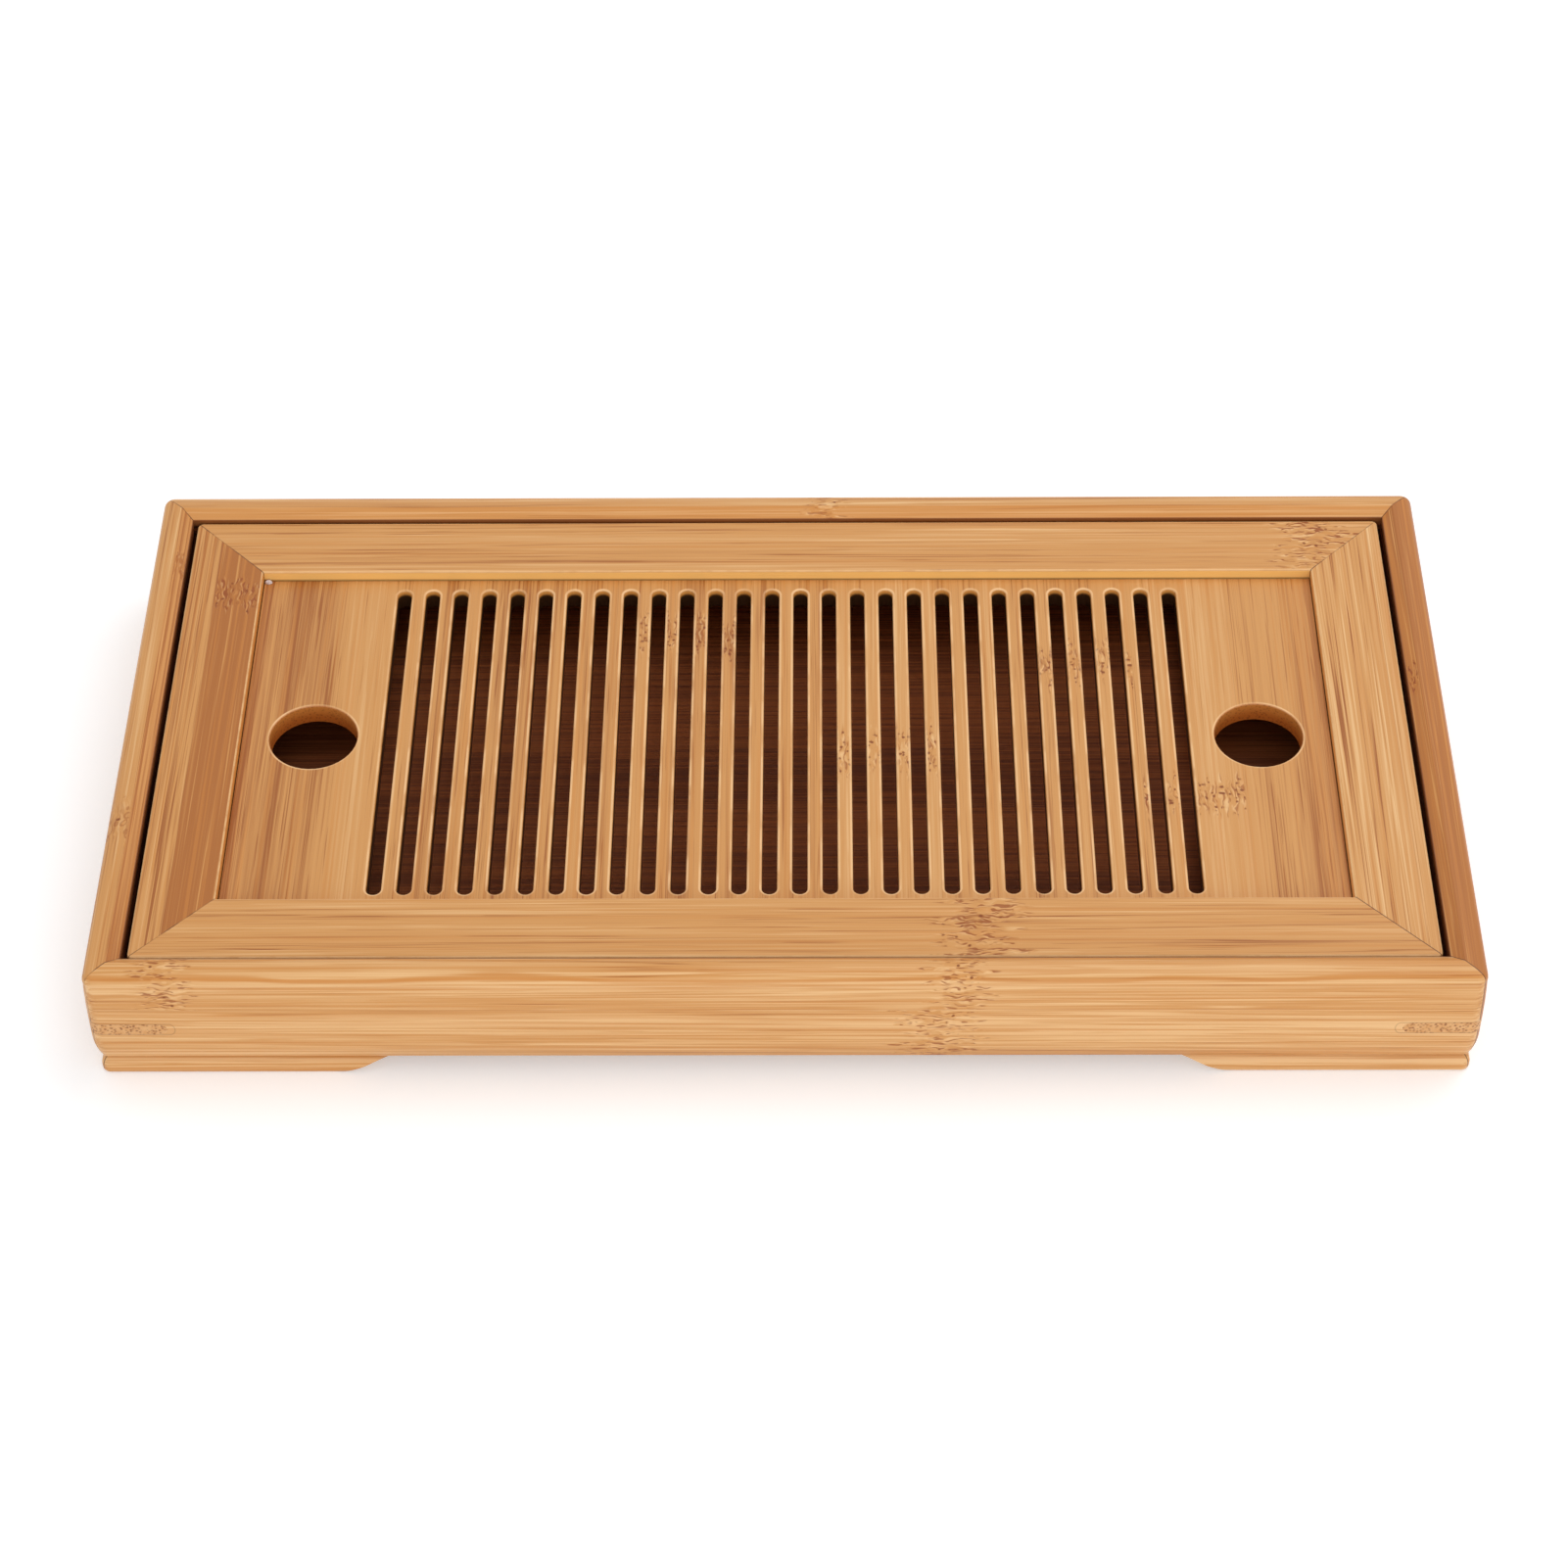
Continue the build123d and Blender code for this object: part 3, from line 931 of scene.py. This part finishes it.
class TEATRAY_OT_feet(Operator):
    """Gives the eight foot strips their bamboo"""

    bl_idname = "teatray.feet"
    bl_label = "Finish Feet"

    def execute(self, context):
        grains = {"front": ("X", "Z"), "back": ("X", "Z"), "left": ("Y", "Z"), "right": ("Y", "Z")}
        seams = (
            Patch(4.2, 0.9, -0.2, warmth=0.3, soft=0.5, wander=0.3),
            Patch(2.7, 0.6, 0.18, soft=0.4, wander=0.3),
            Patch(1.7, 0.5, -0.18, warmth=0.2, soft=0.4, wander=0.3),
        )
        for number, side in enumerate(SIDES):
            grain, across = grains[side]
            for place, end in enumerate(("left", "right") if grain == "X" else ("front", "back")):
                cut = Cut(
                    grain=grain, across=across, lines=1.1, patches=seams, mitre=box_mitre,
                    tone=0.24 + 0.10 * place, warmth=0.12 - 0.06 * place,
                    seed=20.0 + 2 * number + place,
                )
                name = f"{side}_rail_foot_{end}"
                finish_node(name, bamboo_material(f"{side} {end} foot bamboo", cut))
        return {"FINISHED"}


class TEATRAY_OT_keys(Operator):
    """Gives the keys across the mitres their end grain"""

    bl_idname = "teatray.keys"
    bl_label = "Finish Corner Keys"

    def execute(self, context):
        frames = (("corner_key", "key", box_keys), ("grate_key", "grate key", grate_keys))
        for number, corner in enumerate(CORNERS):
            for row, (node, label, places) in enumerate(frames):
                seed = number + row * len(CORNERS)
                grain = key_material(f"{corner} {label} end grain", places, seed)
                finish_node(f"{node}_{corner}", grain)
        return {"FINISHED"}


class TEATRAY_OT_base_board(Operator):
    """Gives the base board its dark brown, lined surface"""

    bl_idname = "teatray.base_board"
    bl_label = "Finish Base Board"

    def execute(self, context):
        make_groups()
        board = context.scene.tea_tray_base
        material, graph, shader = new_material("dark base board")
        plain = millimetres(graph)
        wide = graph.streaks(plain, 180, 7, 2)
        lined = graph.streaks(plain, 40, 0.7, 2)
        fine = graph.streaks(plain, 26, 0.3, 1)
        broad = graph.total(graph.product(wide, 0.35), graph.product(lined, 0.35))
        tone = graph.total(broad, graph.product(fine, 0.30))
        shown = graph.mix(graph.step(tone, 0.15, 0.85), colour(board.deep), colour(board.brown))
        outward = graph.size(graph.split(plain)[0])
        slots_end, holes_middle = 78.0, 96.0
        # Painted shade: the board darkens towards its ends, under the finger holes and the panel's
        # solid ends, where little light falls through
        ends = graph.step(outward, slots_end, holes_middle, 0.0, 0.55)
        shown = graph.mix(ends, shown, colour(board.painted_shade))
        graph.feed(shader.inputs["Base Color"], shown)
        graph.feed(shader.inputs["Roughness"], graph.step(lined, 0, 1, 0.5, 0.62))
        graph.relief(shader, graph.total(lined, fine), 0.03 * MM)
        shader.inputs["Specular IOR Level"].default_value = 0.2
        finish_node("base_board", material)
        return {"FINISHED"}


class TEATRAY_OT_grate_frame(Operator):
    """Gives the four rails of the grate their bamboo"""

    bl_idname = "teatray.grate_frame"
    bl_label = "Finish Grate Frame"

    def execute(self, context):
        width = grate_rail_width / MM
        reach_x = grate_length / 2 / MM
        middle_x = reach_x - width / 2
        middle_y = grate_depth / 2 / MM - width / 2
        level = {
            "mitre": grate_mitre, "key_joint": grate_keys,
            # Painted highlight on sanded edges, painted light on inner walls, and a dark line at
            # their foot
            "edge_highlight": 0.85, "wall_painted_light": 0.6, "foot_line": 0.5,
        }
        upright = {"grain": "Y", "across": "X", **level}
        pale_strip = 6.1
        dark_strip = width - pale_strip
        joint = pale_strip - reach_x
        cuts = {
            "front": Cut(
                **level, tone=0.07, lines=0.8, seed=11.0, pores=0.14, dents=1.4, lit=0.6,
                marks=(Mark(37.8, -middle_y, 14.2, width),),
            ),
            "back": Cut(
                # The back rail's inner wall is painted brightest, as lit from the front
                **{**level, "wall_painted_light": 0.95}, wall_colour=PAINTED_LIT_WALL,
                tone=0.02, lines=0.8, seed=12.0, pores=0.14, dents=1.6,
                marks=(Mark(113.4, middle_y, 14.5, width),),
            ),
            "left": Cut(
                **upright, strip_width=whole_strip, strip_edge=joint, strip_step=0.24,
                tone=-0.32, warmth=0.08, lines=1.2, seed=13.0, dents=2.1, lit=0.5, pores=0.3,
                marks=(Mark(39.6, joint + dark_strip / 2, 9.0, dark_strip),),
                patches=(Patch(joint + dark_strip / 2, dark_strip, -0.09, warmth=0.20),),
            ),
            "right": Cut(
                **upright, strip_width=5.2, strip_edge=middle_x, strip_luck=0.12, tone=0.18,
                lines=1.2, seed=14.0,
            ),
        }
        for side, cut in cuts.items():
            finish_node(f"grate_{side}_rail", bamboo_material(f"grate {side} rail bamboo", cut))
        return {"FINISHED"}


class TEATRAY_OT_grate_panel(Operator):
    """Gives the slotted panel its flat strips, node marks and sanded rims"""

    bl_idname = "teatray.grate_panel"
    bl_label = "Finish Grate Panel"

    def execute(self, context):
        strip = context.scene.tea_tray_bamboo.panel_strip / MM
        cut = Cut(
            grain="Y", across="X", strip_width=strip, strip_edge=strip / 2, strip_luck=0.16,
            glue_line=0.15, tone=0.02, lines=0.5, seed=31.0, dents=1.0, lit=0.8, pores=1.0,
            # Painted light on the walls of slots and holes, under their painted shade
            wall_painted_light=0.8, openings=panel_openings,
            patches=(
                Patch(-5.05 * strip, 0.95 * strip, -0.21, warmth=0.04, soft=6.0),
                Patch(-3.4 * strip, 0.5 * strip, -0.14, warmth=0.06, soft=3.0),
                Patch(-1.15 * strip, 3.2 * strip, -0.16, warmth=0.06, soft=8.0),
                Patch(2.75 * strip, 0.9 * strip, -0.08, soft=6.0),
                Patch(5.3 * strip, 0.5 * strip, -0.14, warmth=0.08, soft=4.0),
            ),
            marks=(
                Mark(29.0, -strip, 11.5, strip),
                Mark(-4.2, strip, 12.5, strip),
                Mark(21.0, 3 * strip, 11.5, strip),
                Mark(-17.0, 4 * strip, 9.0, strip),
            ),
        )
        finish_node("grate_panel", bamboo_material("slotted panel bamboo", cut))
        return {"FINISHED"}


class TEATRAY_OT_glue_bead(Operator):
    """Models the bead of dried glue in the grate's back left inner corner"""

    bl_idname = "teatray.glue_bead"
    bl_label = "Add Glue Bead"

    def execute(self, context):
        glue = context.scene.tea_tray_glue
        inner_x = grate_low.x + grate_rail_width
        inner_y = -grate_low.y - grate_rail_width
        panel_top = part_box("grate_panel")[1].z
        place = Vector((inner_x + glue.length * 0.6, inner_y - glue.width * 0.6, panel_top))
        bpy.ops.object.select_all(action="DESELECT")
        bpy.ops.mesh.primitive_ico_sphere_add(subdivisions=4, radius=0.5, location=place)
        bead = context.object
        bead.name = "glue_bead"
        bead.scale = (glue.length, glue.width, 2 * glue.height)
        bpy.ops.object.transform_apply(location=True, rotation=True, scale=True)
        bpy.ops.object.mode_set(mode="EDIT")
        bpy.ops.mesh.select_all(action="SELECT")
        foot = place + Vector((0, 0, 0.05 * MM))
        bpy.ops.mesh.bisect(plane_co=foot, plane_no=(0, 0, 1), use_fill=True, clear_inner=True)
        bpy.ops.mesh.select_all(action="SELECT")
        bpy.ops.transform.vertex_random(offset=0.05 * MM, uniform=0.2, normal=0.8, seed=3)
        bpy.ops.mesh.vertices_smooth(factor=0.5, repeat=2)
        bpy.ops.object.mode_set(mode="OBJECT")
        bpy.ops.object.shade_smooth_by_angle(angle=radians(50))
        material, graph, shader = new_material("dried glue")
        cloud = graph.noise(millimetres(graph), 1.6, 3.0)
        shown = graph.mix(graph.step(cloud, 0.3, 0.7), colour(glue.colour), GLUE_SHADE)
        graph.feed(shader.inputs["Base Color"], shown)
        graph.feed(shader.inputs["Roughness"], graph.step(cloud, 0.3, 0.7, 0.12, 0.3))
        bead.data.materials.append(material)
        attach(bead, "grate")
        return {"FINISHED"}


class TEATRAY_OT_stage(Operator):
    """Sets up the camera, the lamps and the pale floor"""

    bl_idname = "teatray.stage"
    bl_label = "Set Up Stage"

    def execute(self, context):
        stage = context.scene.tea_tray_stage
        scene = context.scene
        scene.view_settings.view_transform = "Standard"
        self.add_camera(scene, stage)
        self.add_lamps(stage)
        self.add_floor(context, stage)
        self.add_world(scene, stage)
        return {"FINISHED"}

    def add_camera(self, scene, stage):
        data = bpy.data.cameras.new("photo camera")
        data.lens = stage.lens
        data.sensor_width = 36.0
        camera = bpy.data.objects.new("photo camera", data)
        pitch, heading, roll = stage.camera_turn
        turn = Matrix.Rotation(heading, 3, "Z") @ Matrix.Rotation(pi / 2 - pitch, 3, "X")
        turn = turn @ Matrix.Rotation(roll, 3, "Z")
        camera.matrix_world = Matrix.LocRotScale(stage.camera_place, turn, None)
        scene.collection.objects.link(camera)
        scene.camera = camera

    def add_lamps(self, stage):
        lamps = (
            ("key lamp", Vector((0.50, 0.40, 1.20)), 1.0, stage.key_power),
            ("fill lamp", Vector((0.45, -1.55, 0.35)), 1.6, stage.fill_power),
        )
        for name, place, size, power in lamps:
            data = bpy.data.lights.new(name, "AREA")
            data.shape = "DISK"
            data.size = size
            data.energy = power
            lamp = bpy.data.objects.new(name, data)
            lamp.matrix_world = Matrix.LocRotScale(place, (-place).to_track_quat("-Z", "Y"), None)
            bpy.context.scene.collection.objects.link(lamp)

    def add_floor(self, context, stage):
        bpy.ops.object.select_all(action="DESELECT")
        bpy.ops.mesh.primitive_plane_add(size=stage.floor_size, location=(0, 0, 0))
        floor = context.object
        floor.name = "studio_floor"
        material, graph, shader = new_material("pale studio floor")
        cloud = graph.noise(millimetres(graph), 0.01, 2.0)
        white = colour(stage.floor_colour)
        shown = graph.mix(graph.step(cloud, 0.2, 0.8, 0.0, 0.05), white, FLOOR_SHADE)
        graph.feed(shader.inputs["Base Color"], shown)
        graph.feed(shader.inputs["Roughness"], graph.step(cloud, 0.2, 0.8, 0.85, 0.95))
        shader.inputs["Specular IOR Level"].default_value = 0.1
        shader.inputs["Emission Color"].default_value = WHITE
        glow = graph.product(self.seen_directly(graph), 0.3)
        graph.feed(shader.inputs["Emission Strength"], glow)
        floor.data.materials.append(material)

    def seen_directly(self, graph):
        """1 for what the camera, a reflection or a clear piece shows, and 0 for light on things."""
        path = graph.node("ShaderNodeLightPath").outputs
        seen = graph.most(path["Is Camera Ray"], path["Is Glossy Ray"])
        return graph.most(seen, path["Is Transmission Ray"])

    def add_world(self, scene, stage):
        world = bpy.data.worlds.new("soft white room")
        world.use_nodes = True
        scene.world = world
        graph = Graph(world.node_tree)
        strength = graph.step(self.seen_directly(graph), 0.0, 1.0, stage.ambient, 1.0)
        background = world.node_tree.nodes["Background"]
        background.inputs["Color"].default_value = WHITE
        graph.feed(background.inputs["Strength"], strength)


OPERATORS = (
    TEATRAY_OT_stage,
    TEATRAY_OT_box_rails,
    TEATRAY_OT_feet,
    TEATRAY_OT_keys,
    TEATRAY_OT_base_board,
    TEATRAY_OT_grate_frame,
    TEATRAY_OT_grate_panel,
    TEATRAY_OT_glue_bead,
)

SETTINGS = {
    "tea_tray_bamboo": TeaTrayBamboo,
    "tea_tray_base": TeaTrayBase,
    "tea_tray_glue": TeaTrayGlue,
    "tea_tray_stage": TeaTrayStage,
}


class TEATRAY_PT_sidebar(Panel):
    """Lists the tray's settings and the steps that finish it"""

    bl_idname = "TEATRAY_PT_sidebar"
    bl_label = "Tea Tray"
    bl_space_type = "VIEW_3D"
    bl_region_type = "UI"
    bl_category = "Tea Tray"

    def draw(self, context):
        for name, group in SETTINGS.items():
            box = self.layout.box()
            settings = getattr(context.scene, name)
            for field in group.__annotations__:
                box.prop(settings, field)
        for operator in OPERATORS:
            self.layout.operator(operator.bl_idname)


def register():
    for group in SETTINGS.values():
        bpy.utils.register_class(group)
    for name, group in SETTINGS.items():
        setattr(bpy.types.Scene, name, PointerProperty(type=group))
    for operator in OPERATORS:
        bpy.utils.register_class(operator)
    bpy.utils.register_class(TEATRAY_PT_sidebar)


def unregister():
    bpy.utils.unregister_class(TEATRAY_PT_sidebar)
    for operator in reversed(OPERATORS):
        bpy.utils.unregister_class(operator)
    for name, group in SETTINGS.items():
        delattr(bpy.types.Scene, name)
        bpy.utils.unregister_class(group)


def main():
    register()
    for operator in OPERATORS:
        prefix, name = operator.bl_idname.split(".")
        getattr(getattr(bpy.ops, prefix), name)()


if __name__ == "__main__":
    main()
